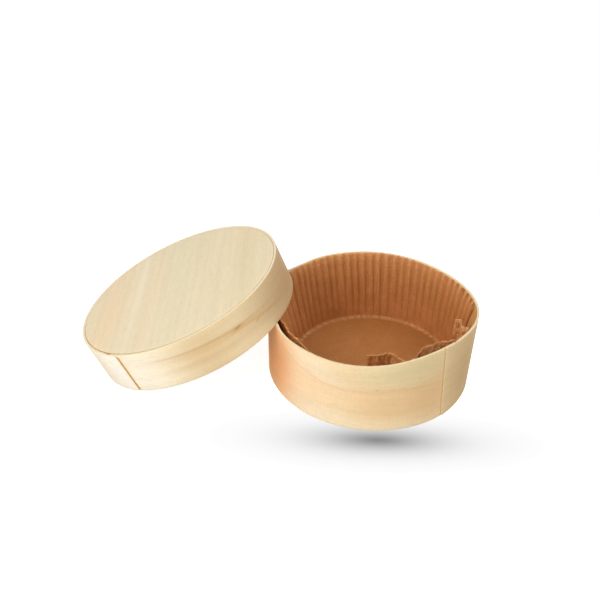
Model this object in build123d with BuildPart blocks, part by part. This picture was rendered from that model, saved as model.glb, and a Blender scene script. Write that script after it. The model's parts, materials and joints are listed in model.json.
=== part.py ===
"""Round veneer cheese box: a tray, a slip-over lid leaning on its rim, and a fluted paper liner.

Frame: millimetres, +Z up, origin at the centre of the tray's underside on the tabletop.
The lid leans on the left of the tray, towards -X, with its foot on the same tabletop.
"""
from build123d import *

import os
from math import asin, cos, degrees, pi, radians, sin, sqrt

# Tray
tray_diameter = 110.0
tray_height = 42.4
base_thickness = 1.5
tray_seam_angle = -47.0

# Veneer hoops and their glued laps
veneer_thickness = 1.3
lap_length = 9.0
lap_film = 0.10
seam_width = 0.8
seam_recess = 0.08
edge_ease = 0.20

# Glue that holds a disc in its hoop
disc_joint_gap = 0.15
glue_bead = 1.2
glue_line_depth = 0.30

# Lid
lid_clearance = 0.25
lid_height = 23.8
lid_disc_thickness = 1.3
lid_disc_recess = 0.15
lid_seam_angle = 244.5

# Lean of the lid: where its lower edge rides the tray's rim
lean_contact_span = 49.2
lean_clearance = 0.12

# Fluted paper liner
paper_thickness = 0.30
flute_count = 68
flute_depth = 1.8
facets_per_flute = 6
liner_flare = 8.1
liner_rim_drop = 1.1
liner_clearance = 0.30

# Worked out from the sizes above
tray_radius = tray_diameter / 2
tray_bore_radius = tray_radius - veneer_thickness
lid_bore_radius = tray_radius + lid_clearance
lid_radius = lid_bore_radius + veneer_thickness
mouth_radius = tray_bore_radius - liner_clearance - flute_depth / 2
flute_share = flute_depth / 2 / mouth_radius

# The lid's lower edge touches the rim at two points, its far side stands on the table,
# so its lean follows from the tray's height.
contact_offset = sqrt(lid_bore_radius**2 - (lean_contact_span / 2) ** 2)
lean_angle = asin(tray_height / (lid_radius + contact_offset))
contact_reach = sqrt((tray_radius + lean_clearance) ** 2 - (lean_contact_span / 2) ** 2)
lid_distance = contact_offset * cos(lean_angle) + contact_reach
lid_plane = Plane(
    origin=(-lid_distance, 0, lid_radius * sin(lean_angle)),
    x_dir=(cos(lean_angle), 0, sin(lean_angle)),
    z_dir=(-sin(lean_angle), 0, cos(lean_angle)),
)


def polar(radius, angle):
    """A point at a radius and an angle in degrees about the hoop's axis."""
    return (radius * cos(radians(angle)), radius * sin(radians(angle)))


def lap_angles(radius, seam_angle, turn):
    """Angles of the seam groove, the outer end, the inner end and the inner shoulder.

    The strip's outer end lies over its inner end. turn is 1 where the lap runs
    anticlockwise from the visible seam, and -1 where it runs clockwise.
    """
    lap = turn * degrees(lap_length / radius)
    groove = turn * degrees(seam_width / radius)
    return (seam_angle - groove, seam_angle, seam_angle + lap - groove, seam_angle + lap)


def hoop_outline(radius, seam_angle, turn):
    """One veneer strip bent round to a half-lapped ring, seen along its axis."""
    bore = radius - veneer_thickness
    over = radius - veneer_thickness / 2 + lap_film / 2
    under = radius - veneer_thickness / 2 - lap_film / 2
    groove, outer_end, inner_end, shoulder = lap_angles(radius, seam_angle, turn)
    full_turn = turn * 360 - (outer_end - groove)
    with BuildSketch() as outline:
        with BuildLine():
            Line(polar(radius, outer_end), polar(over, outer_end))
            CenterArc((0, 0), over, outer_end, shoulder - outer_end)
            Line(polar(over, shoulder), polar(bore, shoulder))
            CenterArc((0, 0), bore, shoulder, full_turn)
            Line(polar(bore, inner_end), polar(under, inner_end))
            CenterArc((0, 0), under, inner_end, groove - inner_end)
            Line(polar(under, groove), polar(radius, groove))
            CenterArc((0, 0), radius, groove, -full_turn)
        make_face()
    return outline.sketch


def lap_glue_outline(radius, seam_angle, turn):
    """The glue between the lapped ends, with the line that shows in the seam."""
    bore = radius - veneer_thickness
    over = radius - veneer_thickness / 2 + lap_film / 2
    under = radius - veneer_thickness / 2 - lap_film / 2
    face = radius - seam_recess
    back = bore + seam_recess
    groove, outer_end, inner_end, shoulder = lap_angles(radius, seam_angle, turn)
    with BuildSketch() as outline:
        with BuildLine():
            CenterArc((0, 0), under, groove, inner_end - groove)
            Line(polar(under, inner_end), polar(back, inner_end))
            CenterArc((0, 0), back, inner_end, shoulder - inner_end)
            Line(polar(back, shoulder), polar(over, shoulder))
            CenterArc((0, 0), over, shoulder, outer_end - shoulder)
            Line(polar(over, outer_end), polar(face, outer_end))
            CenterArc((0, 0), face, outer_end, groove - outer_end)
            Line(polar(face, groove), polar(under, groove))
        make_face()
    return outline.sketch


def fluted_outline(mean_radius):
    """A closed ring of rounded flutes about a mean radius.

    Each wave keeps its share of the radius, so the wall between two such rings is
    made of flat facets that run to one point on the axis, as scored paper folds.
    """
    corners = flute_count * facets_per_flute
    points = []
    for index in range(corners):
        angle = index * 360 / corners
        wave = cos(radians(angle * flute_count))
        points.append(polar(mean_radius * (1 + flute_share * wave), angle))
    with BuildSketch() as outline:
        with BuildLine():
            Polyline(*points, close=True)
        make_face()
    return outline.sketch


# Tray hoop: one veneer strip, ends lapped at the front right
with BuildPart() as tray_hoop:
    with BuildSketch(Plane.XY):
        add(hoop_outline(tray_radius, tray_seam_angle, 1))
    extrude(amount=tray_height)
    rim_edges = tray_hoop.edges().filter_by(GeomType.CIRCLE).filter_by(
        lambda edge: edge.length > tray_diameter
    )
    chamfer(rim_edges, length=edge_ease)
tray_hoop.part.label = "tray_hoop"

# Glue in the tray's lap
with BuildPart() as tray_lap_glue:
    with BuildSketch(Plane.XY.offset(edge_ease)):
        add(lap_glue_outline(tray_radius, tray_seam_angle, 1))
    extrude(amount=tray_height - 2 * edge_ease)
tray_lap_glue.part.label = "tray_lap_glue"

# Base disc inside the foot of the hoop
with BuildPart() as tray_base:
    with BuildSketch(Plane.XY):
        Circle(tray_bore_radius - disc_joint_gap)
    extrude(amount=base_thickness)
tray_base.part.label = "tray_base"

# Glue round the base: a line between disc and hoop under a bead in the corner
with BuildPart() as tray_base_glue:
    with BuildSketch(Plane.XZ):
        with BuildLine():
            Polyline(
                (tray_bore_radius, glue_line_depth),
                (tray_bore_radius, base_thickness + glue_bead),
                (tray_bore_radius - glue_bead, base_thickness),
                (tray_bore_radius - disc_joint_gap, base_thickness),
                (tray_bore_radius - disc_joint_gap, glue_line_depth),
                close=True,
            )
        make_face()
    revolve(axis=Axis.Z)
tray_base_glue.part.label = "tray_base_glue"

# Lid hoop: a lower strip of the same veneer, one clearance larger, seam at the front left
with BuildPart() as lid_hoop:
    with BuildSketch(lid_plane):
        add(hoop_outline(lid_radius, lid_seam_angle, -1))
    extrude(amount=lid_height)
    skirt_edges = lid_hoop.edges().filter_by(GeomType.CIRCLE).filter_by(
        lambda edge: edge.length > tray_diameter
    )
    chamfer(skirt_edges, length=edge_ease)
lid_hoop.part.label = "lid_hoop"

# Glue in the lid's lap
with BuildPart() as lid_lap_glue:
    with BuildSketch(lid_plane.offset(edge_ease)):
        add(lap_glue_outline(lid_radius, lid_seam_angle, -1))
    extrude(amount=lid_height - 2 * edge_ease)
lid_lap_glue.part.label = "lid_lap_glue"

# Lid disc, let into the top of the hoop
lid_disc_top = lid_height - lid_disc_recess
lid_disc_under = lid_disc_top - lid_disc_thickness
with BuildPart() as lid_disc:
    with BuildSketch(lid_plane.offset(lid_disc_under)):
        Circle(lid_bore_radius - disc_joint_gap)
    extrude(amount=lid_disc_thickness)
lid_disc.part.label = "lid_disc"

# Glue round the lid disc, with its bead in the corner under the disc
lid_section_plane = Plane(origin=lid_plane.origin, x_dir=lid_plane.x_dir, z_dir=-lid_plane.y_dir)
with BuildPart() as lid_disc_glue:
    with BuildSketch(lid_section_plane):
        with BuildLine():
            Polyline(
                (lid_bore_radius, lid_disc_top - glue_line_depth),
                (lid_bore_radius, lid_disc_under - glue_bead),
                (lid_bore_radius - glue_bead, lid_disc_under),
                (lid_bore_radius - disc_joint_gap, lid_disc_under),
                (lid_bore_radius - disc_joint_gap, lid_disc_top - glue_line_depth),
                close=True,
            )
        make_face()
    revolve(axis=Axis(lid_plane.origin, lid_plane.z_dir))
lid_disc_glue.part.label = "lid_disc_glue"

# Paper liner: a flat floor and a wall that flares out in flutes, which deepen towards the rim
liner_foot = base_thickness + liner_clearance
liner_floor = liner_foot + paper_thickness
liner_top = tray_height - liner_rim_drop
foot_radius = mouth_radius - liner_flare
rise = paper_thickness / (liner_top - liner_foot)
floor_radius = foot_radius + rise * (mouth_radius - foot_radius)
with BuildPart() as paper_liner:
    with BuildSketch(Plane.XY.offset(liner_foot)):
        add(fluted_outline(foot_radius))
    with BuildSketch(Plane.XY.offset(liner_top)):
        add(fluted_outline(mouth_radius))
    loft(ruled=True)
    with BuildSketch(Plane.XY.offset(liner_floor)):
        add(fluted_outline(floor_radius - paper_thickness))
    with BuildSketch(Plane.XY.offset(liner_top)):
        add(fluted_outline(mouth_radius - paper_thickness))
    loft(ruled=True, mode=Mode.SUBTRACT)
paper_liner.part.label = "paper_liner"

flute_pitch = 2 * pi * mouth_radius / flute_count
print(f"lean {degrees(lean_angle):.2f} deg, lid centre {lid_distance:.2f} mm from the tray's axis")
print(f"lid axis ({-sin(lean_angle):.6f}, 0, {cos(lean_angle):.6f}), flute pitch {flute_pitch:.2f} mm")

os.makedirs("parts", exist_ok=True)
export_step(tray_hoop.part, "parts/tray_hoop.step")
export_step(tray_lap_glue.part, "parts/tray_lap_glue.step")
export_step(tray_base.part, "parts/tray_base.step")
export_step(tray_base_glue.part, "parts/tray_base_glue.step")
export_step(lid_hoop.part, "parts/lid_hoop.step")
export_step(lid_lap_glue.part, "parts/lid_lap_glue.step")
export_step(lid_disc.part, "parts/lid_disc.step")
export_step(lid_disc_glue.part, "parts/lid_disc_glue.step")
export_step(paper_liner.part, "parts/paper_liner.step")
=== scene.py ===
"""Dressed model of a round veneer cheese box.

A peeled poplar tray with a fluted paper liner stands on a white table, and its
slip-over lid leans on the rim. Everything is in metres, in the frame of the part.
"""
import json
import logging
import math
from dataclasses import dataclass
from enum import Enum

import bmesh
import bpy
import numpy as np
from mathutils import Matrix, Vector, noise


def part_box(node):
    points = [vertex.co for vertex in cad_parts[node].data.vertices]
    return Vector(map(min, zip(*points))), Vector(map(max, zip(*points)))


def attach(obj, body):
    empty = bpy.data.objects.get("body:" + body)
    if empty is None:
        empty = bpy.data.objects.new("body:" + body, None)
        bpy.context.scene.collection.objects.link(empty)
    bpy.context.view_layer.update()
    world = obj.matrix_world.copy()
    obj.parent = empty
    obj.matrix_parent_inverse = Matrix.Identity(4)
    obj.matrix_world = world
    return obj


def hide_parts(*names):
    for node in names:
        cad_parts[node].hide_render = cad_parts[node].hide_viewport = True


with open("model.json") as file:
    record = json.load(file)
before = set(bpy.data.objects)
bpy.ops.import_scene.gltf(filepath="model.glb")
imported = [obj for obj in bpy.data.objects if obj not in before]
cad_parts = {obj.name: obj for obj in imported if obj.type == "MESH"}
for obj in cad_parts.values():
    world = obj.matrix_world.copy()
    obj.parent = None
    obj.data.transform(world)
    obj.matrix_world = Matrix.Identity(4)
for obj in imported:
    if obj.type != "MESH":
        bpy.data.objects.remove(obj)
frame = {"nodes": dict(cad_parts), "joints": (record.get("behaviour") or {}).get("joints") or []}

MM = 0.001
WHITE = (1.0, 1.0, 1.0, 1.0)
ROUNDED = 1 - math.sqrt(0.5)
LOG = logging.getLogger("cheese_box")
Socket = bpy.types.NodeSocket
Finish = bpy.types.Material


def linear(code: str) -> tuple[float, float, float, float]:
    """Turns an sRGB hex colour, six digits after a hash, into opaque linear RGBA."""
    channels = [int(code[i : i + 2], 16) / 255 for i in (1, 3, 5)]
    red, green, blue = (c / 12.92 if c <= 0.04045 else ((c + 0.055) / 1.055) ** 2.4 for c in channels)
    return (red, green, blue, 1.0)


def smooth(value: float) -> float:
    """A soft step from 0 to 1."""
    value = min(max(value, 0.0), 1.0)
    return value * value * (3 - 2 * value)


def uneven(x: float, y: float, z: float) -> float:
    """Smooth noise from about -1 to 1."""
    return noise.noise(Vector((x, y, z)))


def turned(angle: float, origin: float) -> float:
    """The turn from one angle to another, from -180 to 180 degrees."""
    return (angle - origin + 180) % 360 - 180


def azimuth(point: Vector) -> float:
    """The direction of a point about the tray's axis, in degrees."""
    return math.degrees(math.atan2(point.y, point.x))


def new_object(name: str, mesh: bpy.types.Mesh) -> bpy.types.Object:
    """Links a mesh to the scene as an object at the origin."""
    piece = bpy.data.objects.new(name, mesh)
    bpy.context.scene.collection.objects.link(piece)
    return piece


def closed_piece(name: str, bm: bmesh.types.BMesh, *finishes: Finish) -> bpy.types.Object:
    """Turns a closed bmesh into an object.

    Args:
        name: The piece's name.
        bm: The closed bmesh, which is freed.
        finishes: The piece's materials, in the order of its slots.

    Returns:
        The object, its normals outwards.
    """
    bmesh.ops.recalc_face_normals(bm, faces=bm.faces)
    mesh = bpy.data.meshes.new(name)
    bm.to_mesh(mesh)
    bm.free()
    for finish in finishes:
        mesh.materials.append(finish)
    return new_object(name, mesh)


def bridge(bm: bmesh.types.BMesh, here: list[bmesh.types.BMVert], there: list[bmesh.types.BMVert]) -> None:
    """Joins two closed rows of vertices with a band of faces."""
    for index, corner in enumerate(here):
        following = (index + 1) % len(here)
        bm.faces.new((corner, here[following], there[following], there[index]))


class Nodes:
    """A node tree with a short call for each kind of node. The calls give the node's output."""

    def __init__(self, tree: bpy.types.NodeTree) -> None:
        """Takes over a tree and empties it."""
        tree.nodes.clear()
        self.tree = tree

    def add(self, kind: str, settings: dict | None = None, inputs: dict | None = None) -> bpy.types.Node:
        """Adds a node.

        Args:
            kind: The node's type name.
            settings: Attribute values of the node.
            inputs: Socket name or index to a plain value, a hex colour, or a socket to link from.

        Returns:
            The node.
        """
        node = self.tree.nodes.new(kind)
        for name, value in (settings or {}).items():
            setattr(node, name, value)
        for key, value in (inputs or {}).items():
            if isinstance(value, Socket):
                self.tree.links.new(value, node.inputs[key])
            else:
                is_colour = isinstance(value, str) and value.startswith("#")
                node.inputs[key].default_value = linear(value) if is_colour else value
        return node

    def sockets(self, kind: str, *names: str, way: str = "INPUT") -> None:
        """Gives the tree itself named sockets of one kind."""
        for name in names:
            self.tree.interface.new_socket(name=name, in_out=way, socket_type=kind)

    def read(self, kind: str, output: str, **settings: str) -> Socket:
        """Reads a coordinate or an attribute."""
        return self.add(kind, settings).outputs[output]

    def math(self, operation: str, *values: object) -> Socket:
        """Works with numbers."""
        return self.add("ShaderNodeMath", {"operation": operation}, dict(enumerate(values))).outputs[0]

    def vector(self, operation: str, *values: object, output: str = "Vector") -> Socket:
        """Works with vectors."""
        inputs = dict(enumerate(values))
        return self.add("ShaderNodeVectorMath", {"operation": operation}, inputs).outputs[output]

    def scaled(self, vector: Socket, scale: object) -> Socket:
        """Scales a vector or a colour."""
        inputs = {0: vector, "Scale": scale}
        return self.add("ShaderNodeVectorMath", {"operation": "SCALE"}, inputs).outputs[0]

    def point(self, x: object, y: object, z: object) -> Socket:
        """Joins three numbers to a vector."""
        return self.add("ShaderNodeCombineXYZ", inputs={0: x, 1: y, 2: z}).outputs[0]

    def parts(self, vector: Socket) -> bpy.types.NodeOutputs:
        """Splits a vector into X, Y and Z."""
        return self.add("ShaderNodeSeparateXYZ", inputs={0: vector}).outputs

    def remap(
        self, value: Socket, low: object = 0.0, high: object = 1.0, least: object = 0.0, most: object = 1.0
    ) -> Socket:
        """Carries a number from the range low to high to the range least to most."""
        inputs = {"Value": value, "From Min": low, "From Max": high, "To Min": least, "To Max": most}
        return self.add("ShaderNodeMapRange", inputs=inputs).outputs["Result"]

    def eased(self, *values: object, **ends: object) -> Socket:
        """Does what remap does, with a soft start and end."""
        result = self.remap(*values, **ends)
        result.node.interpolation_type = "SMOOTHSTEP"
        return result

    def noise(
        self, at: Socket, detail: float, scale: float = 1.0, rough: float = 0.5, space: str = "3D"
    ) -> Socket:
        """Adds a noise texture."""
        inputs = {"Vector": at, "Scale": scale, "Detail": detail, "Roughness": rough}
        return self.add("ShaderNodeTexNoise", {"noise_dimensions": space}, inputs).outputs["Fac"]

    def mix(self, share: Socket, under: object, over: object) -> Socket:
        """Lays a colour over another by a mask."""
        return self.add("ShaderNodeMix", {"data_type": "RGBA"}, {0: share, 6: under, 7: over}).outputs[2]

    def bump(self, height: Socket, strength: float, depth: float) -> Socket:
        """Raises the surface by a height, its depth in mm."""
        inputs = {"Height": height, "Strength": strength, "Distance": depth * MM}
        return self.add("ShaderNodeBump", inputs=inputs).outputs["Normal"]

    def shader(self, kind: str, *values: object) -> Socket:
        """Adds a shader node, its inputs in order."""
        return self.add("ShaderNode" + kind, inputs=dict(enumerate(values))).outputs[0]

    def seen_straight(self) -> Socket:
        """Tells whether the camera looks straight at a place or through something clear."""
        path = self.add("ShaderNodeLightPath").outputs
        return self.math("MAXIMUM", path["Is Camera Ray"], path["Is Transmission Ray"])

    def surface(
        self, colour: Socket, rough: object, ior: float, normal: Socket, more: dict | None = None
    ) -> None:
        """Ends a material in one plain surface."""
        inputs = {"Base Color": colour, "Roughness": rough, "IOR": ior, "Normal": normal, **(more or {})}
        shader = self.add("ShaderNodeBsdfPrincipled", inputs=inputs)
        self.add("ShaderNodeOutputMaterial", inputs={"Surface": shader.outputs[0]})


@dataclass(frozen=True)
class Lobe:
    """One wave of a hoop's edge about round: a lean (1), an oval (2) or more corners.

    With a width, in degrees, it is one local dent or bulge instead.
    """

    count: int
    reach: float
    towards: float
    width: float = 0.0

    def at(self, angle: float) -> float:
        """How far it stands out at an angle, in metres."""
        away = turned(angle, self.towards)
        if self.width:
            return self.reach * math.exp(-((away / self.width) ** 2))
        return self.reach * math.cos(math.radians(self.count * away))


@dataclass(frozen=True)
class Spring:
    """How a hoop's free edge has sprung out of round, growing from its held edge."""

    lobes: tuple[Lobe, ...] = ()

    def reach(self, angle: float, share: float) -> float:
        """How far the wall stands out, in metres, at an angle and a share of its height."""
        return sum(lobe.at(angle) for lobe in self.lobes) * share


@dataclass(frozen=True)
class Ring:
    """Where a round piece lies: its lower centre, its three directions and its size."""

    centre: Vector
    u: Vector
    w: Vector
    n: Vector
    radius: float
    height: float

    @classmethod
    def from_node(cls, node: str, axis: Vector) -> "Ring":
        """Measures a round CAD node.

        Args:
            node: The node's name.
            axis: The ring's axis, pointing from its lower edge to its upper one.

        Returns:
            The ring that the node fills.
        """
        n, side = axis.normalized(), Vector((1, 0, 0))
        u = (side - n * side.dot(n)).normalized()
        w = n.cross(u)
        points = np.array([v.co for v in frame["nodes"][node].data.vertices])
        reaches = [points @ np.array(way) for way in (u, w, n)]
        low, high = ([float(pick(reach)) for reach in reaches] for pick in (np.min, np.max))
        centre = u * ((low[0] + high[0]) / 2) + w * ((low[1] + high[1]) / 2) + n * low[2]
        return cls(centre, u, w, n, (high[0] - low[0]) / 2, high[2] - low[2])

    def point(self, radius: float, angle: float, rise: float) -> Vector:
        """Gives a point by its radius, its angle in degrees and its height above the lower edge."""
        a = math.radians(angle)
        return self.centre + self.u * (radius * math.cos(a)) + self.w * (radius * math.sin(a)) + self.n * rise


class GrainMap(Enum):
    """Where a veneer's grain is read from."""

    UNROLLED = "the piece's own UV map, laid along the strip or across the disc"
    OBJECT = "Object coordinates, on a flat piece left as built"


@dataclass(frozen=True)
class Streak:
    """One mark in the wood: a mineral streak, a tone patch, a pin knot, or a broad patch of painted light or
    painted shade.

    Places are in millimetres along and across the grain, from the map's origin.
    """

    along: float
    across: float
    length: float
    width: float
    tint: str
    strength: float
    slope: float = 0.0
    bend: float = 0.0

    @classmethod
    def rows(cls, *marks: tuple) -> tuple["Streak", ...]:
        """Makes one mark of each row, its values in the order of the fields."""
        return tuple(cls(*mark) for mark in marks)


@dataclass(frozen=True)
class Dressing:
    """A finish by its name. Each kind wires its own nodes."""

    name: str

    def wire(self, nodes: Nodes) -> None:
        """Wires the material's nodes."""
        raise NotImplementedError

    def build(self) -> Finish:
        """Builds the procedural material."""
        material = bpy.data.materials.new(self.name)
        material.use_nodes = True
        self.wire(Nodes(material.node_tree))
        return material


@dataclass(frozen=True)
class PoplarVeneer(Dressing):
    """Rotary-peeled poplar, left raw.

    Peeling gives a pale, silky face with faint long fibres, slow tones that follow the
    growth rings, short pores, and fine cross ripples from the chatter of the knife.
    Pores of 0.1 mm are drawn 0.3 mm wide, so that they show.
    """

    body: str = "#EBD2A4"
    pale: str = "#F4E4C2"
    warm: str = "#E5BE8A"
    pore: str = "#BF9462"
    tone_length: float = 70.0
    tone_share: float = 0.5
    warm_share: float = 0.3
    roughness: float = 0.62
    grain_map: GrainMap = GrainMap.UNROLLED
    marks_and_painted_light: tuple[Streak, ...] = ()
    shift: float = 0.0

    @staticmethod
    def mark_group() -> bpy.types.NodeTree:
        """Makes or finds the node group that masks one long soft mark along the grain."""
        if "grain_mark" in bpy.data.node_groups:
            return bpy.data.node_groups["grain_mark"]
        nodes = Nodes(bpy.data.node_groups.new("grain_mark", "ShaderNodeTree"))
        nodes.sockets("NodeSocketFloat", "Along", "Across", "Middle Along", "Middle Across")
        nodes.sockets("NodeSocketFloat", "Length", "Width", "Bend", "Slope")
        nodes.sockets("NodeSocketFloat", "Mask", way="OUTPUT")
        source = nodes.add("NodeGroupInput").outputs
        off = nodes.math("SUBTRACT", source["Along"], source["Middle Along"])
        share = nodes.math("DIVIDE", off, source["Length"])
        square = nodes.math("MULTIPLY", share, share)
        bent = nodes.math("MULTIPLY", square, source["Bend"])
        sloped = nodes.math("MULTIPLY_ADD", share, source["Slope"], bent)
        middle = nodes.math("ADD", sloped, source["Middle Across"])
        off = nodes.math("DIVIDE", nodes.math("SUBTRACT", source["Across"], middle), source["Width"])
        far = nodes.math("MULTIPLY_ADD", off, off, square)
        mask = nodes.math("EXPONENT", nodes.math("MULTIPLY", far, -1.0))
        nodes.add("NodeGroupOutput", inputs={"Mask": mask})
        return nodes.tree

    def marked(self, nodes: Nodes, grain: Socket, fibre: Socket, colour: Socket) -> Socket:
        """Lays every mark on the wood, the patches of painted light and shade among them.

        Args:
            nodes: The material's nodes.
            grain: The place along and across the grain, in mm.
            fibre: The fibres, which break the marks up.
            colour: The colour so far.

        Returns:
            The marked colour.
        """
        at = nodes.parts(grain)
        for mark in self.marks_and_painted_light:
            inputs = {"Along": at["X"], "Across": at["Y"]}
            inputs |= {"Middle Along": mark.along, "Middle Across": mark.across}
            inputs |= {"Length": mark.length, "Width": mark.width, "Bend": mark.bend, "Slope": mark.slope}
            mask = nodes.add("ShaderNodeGroup", {"node_tree": self.mark_group()}, inputs).outputs["Mask"]
            broken = nodes.remap(fibre, 0.3, 0.7, 0.8 * mark.strength, 1.1 * mark.strength)
            colour = nodes.mix(nodes.math("MULTIPLY", mask, broken), colour, mark.tint)
        return colour

    def wire(self, nodes: Nodes) -> None:
        """Wires the veneer, every length of its grain in mm."""
        if self.grain_map is GrainMap.UNROLLED:
            place = nodes.read("ShaderNodeUVMap", "UV", uv_map="grain")
        else:
            place = nodes.read("ShaderNodeTexCoord", "Object")
        grain = nodes.scaled(place, 1 / MM)
        moved = nodes.vector("ADD", grain, (self.shift, self.shift * 0.37, self.shift))
        wander = nodes.noise(nodes.vector("MULTIPLY", moved, (1 / 60, 1 / 22, 0.01)), 1.0, space="2D")
        run = nodes.vector("ADD", moved, nodes.point(0.0, nodes.remap(wander, least=-1.6, most=1.6), 0.0))
        layers = {}
        for layer, length, width, detail in (
            ("tone", self.tone_length, 13.0, 2.0),
            ("ring", 120.0, 3.6, 1.0),
            ("patch", 42.0, 17.0, 1.0),
            ("fibre", 8.0, 0.5, 3.0),
            ("pore", 2.2, 0.3, 1.0),
            ("chatter", 0.8, 8.0, 1.0),
            ("fuzz", 0.7, 0.6, 2.0),
        ):
            at = nodes.vector("MULTIPLY", run, (1 / length, 1 / width, 0.013))
            layers[layer] = nodes.noise(at, detail, rough=0.55)
        tones = nodes.eased(layers["tone"], 0.36, 0.66, most=self.tone_share)
        colour = nodes.mix(tones, self.body, self.pale)
        colour = nodes.mix(nodes.eased(layers["patch"], 0.46, 0.74, most=self.warm_share), colour, self.warm)
        colour = self.marked(nodes, grain, layers["fibre"], colour)
        for layer, low, high in (("fibre", 0.938, 1.045), ("ring", 0.972, 1.022), ("chatter", 0.98, 1.015)):
            colour = nodes.scaled(colour, nodes.remap(layers[layer], 0.3, 0.7, low, high))
        pores = nodes.eased(layers["pore"], 0.60, 0.76, most=0.32)
        raised = nodes.math("MULTIPLY_ADD", pores, -1.2, layers["fibre"])
        for layer, weight in (("fuzz", 0.4), ("chatter", 0.5)):
            raised = nodes.math("MULTIPLY_ADD", layers[layer], weight, raised)
        rough = nodes.remap(layers["fibre"], least=self.roughness - 0.08, most=self.roughness + 0.10)
        nodes.surface(nodes.mix(pores, colour, self.pore), rough, 1.5, nodes.bump(raised, 0.6, 0.06))


@dataclass(frozen=True)
class CutEdge(Dressing):
    """The knife-cut edge of a veneer: paler than the face, with fine lines along the strip."""

    body: str = "#E4D2AC"
    shade: str = "#CCAC7C"

    def wire(self, nodes: Nodes) -> None:
        """Wires the cut edge."""
        place = nodes.read("ShaderNodeUVMap", "UV", uv_map="grain")
        at = nodes.vector("MULTIPLY", place, (1 / (3.2 * MM), 1 / (0.28 * MM), 1.0))
        lines = nodes.noise(at, 3.0, space="2D")
        colour = nodes.mix(nodes.remap(lines, 0.35, 0.7, most=0.6), self.body, self.shade)
        nodes.surface(colour, 0.78, 1.5, nodes.bump(lines, 0.6, 0.08))


@dataclass(frozen=True)
class WoodGlue(Dressing):
    """Dried amber wood glue with wood dust in it: half matt, darker where it is thick."""

    body: str = "#F0B45C"
    dark: str = "#DC9840"

    def wire(self, nodes: Nodes) -> None:
        """Wires the dried glue."""
        clots = nodes.noise(nodes.read("ShaderNodeTexCoord", "Object"), 3.0, 1 / (1.6 * MM))
        colour = nodes.mix(nodes.remap(clots, 0.36, 0.66), self.dark, self.body)
        nodes.surface(colour, 0.5, 1.47, nodes.bump(clots, 0.5, 0.1))


@dataclass(frozen=True)
class GreaseproofPaper(Dressing):
    """Brown greaseproof baking paper, heat-pressed into flutes; thin enough to let light through.

    Long fibres cloud it, the floor is pressed smoother and darker than the wall, the fold of
    the floor is rubbed paler, and handled edges are fluffy, their pale fluff partly painted
    light on shaded faces. The ridges are paler, partly rubbed and partly painted light on the
    crests. Painted light makes the wall a little yellower towards its top, where light comes
    through it, and lighter on its left side and on the strip bared by the tear; a painted
    shadow darkens the tear line.
    """

    body: str = "#B97742"
    deep: str = "#AA6933"
    # Ridges rubbed paler, which also paints light on the crests and on the strip bared by the tear.
    rubbed: str = "#D49C5E"
    pressed: str = "#A36C32"
    # Painted light: towards the wall's top, where light comes through, on its left side and on the strip
    # bared by the tear.
    top: str = "#C9854D"
    # Painted shadow along the tear line; also darker spots on the frayed top.
    torn: str = "#6E3A1A"
    fluff: str = "#E29E5A"

    def wire(self, nodes: Nodes) -> None:
        """Wires the brown paper."""
        place = nodes.read("ShaderNodeTexCoord", "Object")
        cloud = nodes.noise(place, 4.0, 1 / (7.0 * MM), 0.6)
        fibre = nodes.noise(place, 4.0, 1 / (0.9 * MM), 0.7)
        dots = nodes.noise(place, 1.0, 1 / (0.75 * MM))
        colour = nodes.mix(nodes.remap(cloud, 0.33, 0.67), self.deep, self.body)
        wall = nodes.read("ShaderNodeAttribute", "Fac", attribute_name="wall_share")
        colour = nodes.mix(nodes.remap(wall, 0.0, 0.04, 0.6, 0.0), colour, self.pressed)
        # Masks: high is painted light, ridge is rubbing with painted light on the crests, torn is painted
        # shadow along the tear, fluffy is pale fluff, partly painted light on handled lips.
        for mark, tint, grain, *ends in (
            ("high", self.top, fibre, 0.3, 0.65, 0.4),
            ("ridge", self.rubbed, fibre, 0.3, 0.65, 0.4),
            ("torn", self.torn, fibre, 0.3, 0.65, 0.4),
            ("fluffy", self.fluff, dots, 0.44, 0.60, 0.12),
        ):
            mask = nodes.read("ShaderNodeAttribute", "Fac", attribute_name=mark)
            colour = nodes.mix(nodes.math("MULTIPLY", mask, nodes.remap(grain, *ends)), colour, tint)
        colour = nodes.scaled(colour, nodes.remap(fibre, 0.3, 0.7, 0.87, 1.11))
        light_through = {
            "Subsurface Weight": 0.3,
            "Subsurface Radius": (1.0, 0.5, 0.25),
            "Subsurface Scale": 0.5 * MM,
        }
        nodes.surface(colour, 0.58, 1.45, nodes.bump(fibre, 0.6, 0.06), light_through)


@dataclass(frozen=True)
class Chip:
    """A chip or dent in a hoop's upper edge, by its angle, its length and its depth."""

    angle: float
    length: float
    depth: float


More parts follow.
